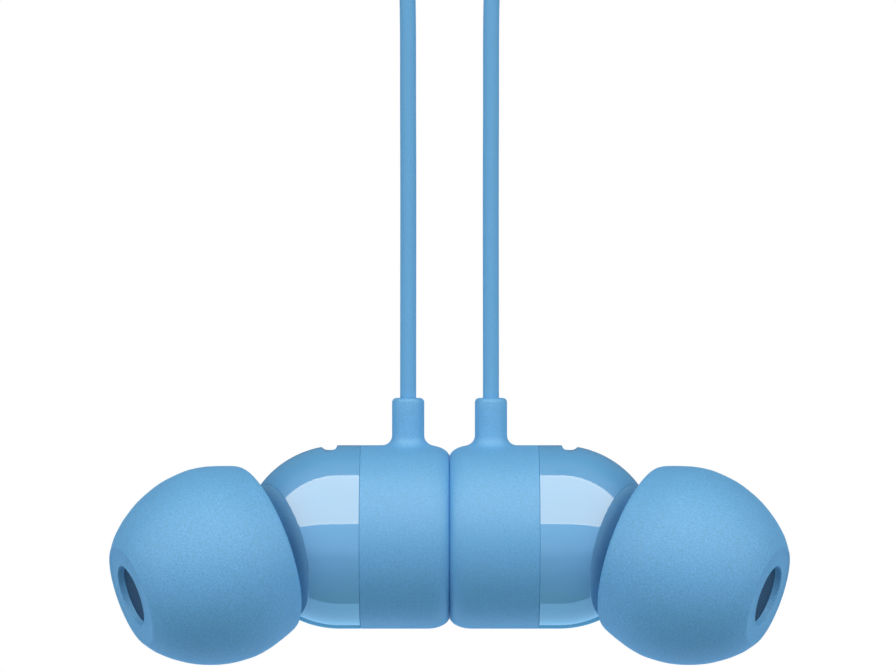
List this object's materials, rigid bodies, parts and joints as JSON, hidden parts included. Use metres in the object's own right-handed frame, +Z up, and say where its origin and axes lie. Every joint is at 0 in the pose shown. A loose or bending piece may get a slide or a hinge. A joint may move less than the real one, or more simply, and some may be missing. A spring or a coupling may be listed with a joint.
{
  "type": "neckband earphones",
  "caption": "Neckband earphones with a springy collar, an electronics pod at each end, an in-line remote, and in-ear buds clasped back to back on thin cords.",
  "frame": {"origin": "inside face of the neckband at the middle of the back of the neck", "axes": "+Z up as worn, the wearer faces -Y, +X is the wearer's left; the plane between the clasped buds is x = 0"},
  "size_m": [0.14, 0.1352, 0.3327],
  "materials": {
    "soft_touch_plastic": "fine soft-touch grain",
    "gloss_plastic": "polished",
    "tip_silicone": "satin silicone",
    "band_silicone": "matt silicone",
    "cord_rubber": "matt cord jacket",
    "dark_plastic": "matt",
    "circuit_board": "solder mask",
    "steel": "plain",
    "memory_wire": "drawn",
    "magnet": "nickel plate",
    "acoustic_mesh": "woven, dark",
    "diaphragm_film": "thin film",
    "battery_wrap": "pouch foil",
    "led_lens": "frosted"
  },
  "bodies": {
    "band_back": {"neckband_sleeve_back": "band_silicone", "memory_wire_back": "memory_wire"},
    "left_arm": {"neckband_sleeve_left": "band_silicone", "memory_wire_left": "memory_wire", "left_band_ferrule": "band_silicone", "left_cord_relief": "cord_rubber", "left_module_front_cover": "soft_touch_plastic", "left_module_back_cover": "soft_touch_plastic", "main_circuit_board": "circuit_board", "radio_shield_can": "steel", "power_dome_switch": "steel", "usb_c_receptacle": "steel", "usb_port_bezel": "dark_plastic", "status_led_lens": "led_lens"},
    "right_arm": {"neckband_sleeve_right": "band_silicone", "memory_wire_right": "memory_wire", "right_band_ferrule": "band_silicone", "right_cord_relief": "cord_rubber", "right_module_front_cover": "soft_touch_plastic", "right_module_back_cover": "soft_touch_plastic", "battery_cell": "battery_wrap", "battery_protection_board": "circuit_board"},
    "power_key": {"power_button": "soft_touch_plastic"},
    "left_bud": {"left_upper_cord": "cord_rubber", "left_lower_cord": "cord_rubber", "remote_upper_relief": "cord_rubber", "remote_lower_relief": "cord_rubber", "remote_front_shell": "soft_touch_plastic", "remote_back_shell": "soft_touch_plastic", "remote_circuit_board": "circuit_board", "microphone_capsule": "steel", "left_rear_housing": "soft_touch_plastic", "left_clasp_magnet": "magnet", "left_front_housing": "gloss_plastic", "left_vent_screen": "acoustic_mesh", "left_driver_basket": "dark_plastic", "left_driver_magnet": "magnet", "left_nozzle": "soft_touch_plastic", "left_nozzle_mesh": "acoustic_mesh"},
    "right_bud": {"right_cord": "cord_rubber", "right_rear_housing": "soft_touch_plastic", "right_clasp_magnet": "magnet", "right_front_housing": "gloss_plastic", "right_vent_screen": "acoustic_mesh", "right_driver_basket": "dark_plastic", "right_driver_magnet": "magnet", "right_nozzle": "soft_touch_plastic", "right_nozzle_mesh": "acoustic_mesh"},
    "volume_up_key": {"volume_up_button": "soft_touch_plastic"},
    "play_key": {"play_button": "soft_touch_plastic"},
    "volume_down_key": {"volume_down_button": "soft_touch_plastic"},
    "left_tip": {"left_ear_tip": "tip_silicone"},
    "right_tip": {"right_ear_tip": "tip_silicone"},
    "left_film": {"left_diaphragm": "diaphragm_film"},
    "right_film": {"right_diaphragm": "diaphragm_film"}
  },
  "joints": [
    {"name": "left_arm_flex", "type": "hinge", "parent": "band_back", "child": "left_arm", "pos_m": [0.03982, -0.00839, -0.00236], "axis": [0, 0, 1], "range_deg": [0, 25], "stiffness_Nm_per_rad": 0.4},
    {"name": "right_arm_flex", "type": "hinge", "parent": "band_back", "child": "right_arm", "pos_m": [-0.03982, -0.00839, -0.00236], "axis": [0, 0, -1], "range_deg": [0, 25], "stiffness_Nm_per_rad": 0.4},
    {"name": "left_bud_swing", "type": "hinge", "parent": "left_arm", "child": "left_bud", "pos_m": [0.038, -0.1155, -0.127], "axis": [0, -1, 0], "range_deg": [0, 60], "stiffness_Nm_per_rad": 0.005, "springref_deg": -34.38},
    {"name": "right_bud_swing", "type": "hinge", "parent": "right_arm", "child": "right_bud", "pos_m": [-0.038, -0.1155, -0.127], "axis": [0, 1, 0], "range_deg": [0, 60], "stiffness_Nm_per_rad": 0.005, "springref_deg": -34.38},
    {"name": "left_tip_pull", "type": "slide", "parent": "left_bud", "child": "left_tip", "axis": [0.8857, -0.3469, -0.3084], "range_m": [0, 0.012]},
    {"name": "right_tip_pull", "type": "slide", "parent": "right_bud", "child": "right_tip", "axis": [-0.8857, -0.3469, -0.3084], "range_m": [0, 0.012]},
    {"name": "left_diaphragm_stroke", "type": "slide", "parent": "left_bud", "child": "left_film", "axis": [1, 0, 0], "range_m": [-0.0002, 0.0002], "stiffness_N_per_m": 200},
    {"name": "right_diaphragm_stroke", "type": "slide", "parent": "right_bud", "child": "right_film", "axis": [-1, 0, 0], "range_m": [-0.0002, 0.0002], "stiffness_N_per_m": 200},
    {"name": "power_button_press", "type": "slide", "parent": "left_arm", "child": "power_key", "axis": [-0.017, 0.9915, -0.1289], "range_m": [0, 0.0003], "stiffness_N_per_m": 800},
    {"name": "volume_up_press", "type": "slide", "parent": "left_bud", "child": "volume_up_key", "axis": [-0.0014, 1, -0.0051], "range_m": [0, 0.0003], "stiffness_N_per_m": 800},
    {"name": "play_press", "type": "slide", "parent": "left_bud", "child": "play_key", "axis": [-0.0014, 1, -0.0051], "range_m": [0, 0.0003], "stiffness_N_per_m": 800},
    {"name": "volume_down_press", "type": "slide", "parent": "left_bud", "child": "volume_down_key", "axis": [-0.0014, 1, -0.0051], "range_m": [0, 0.0003], "stiffness_N_per_m": 800}
  ]
}
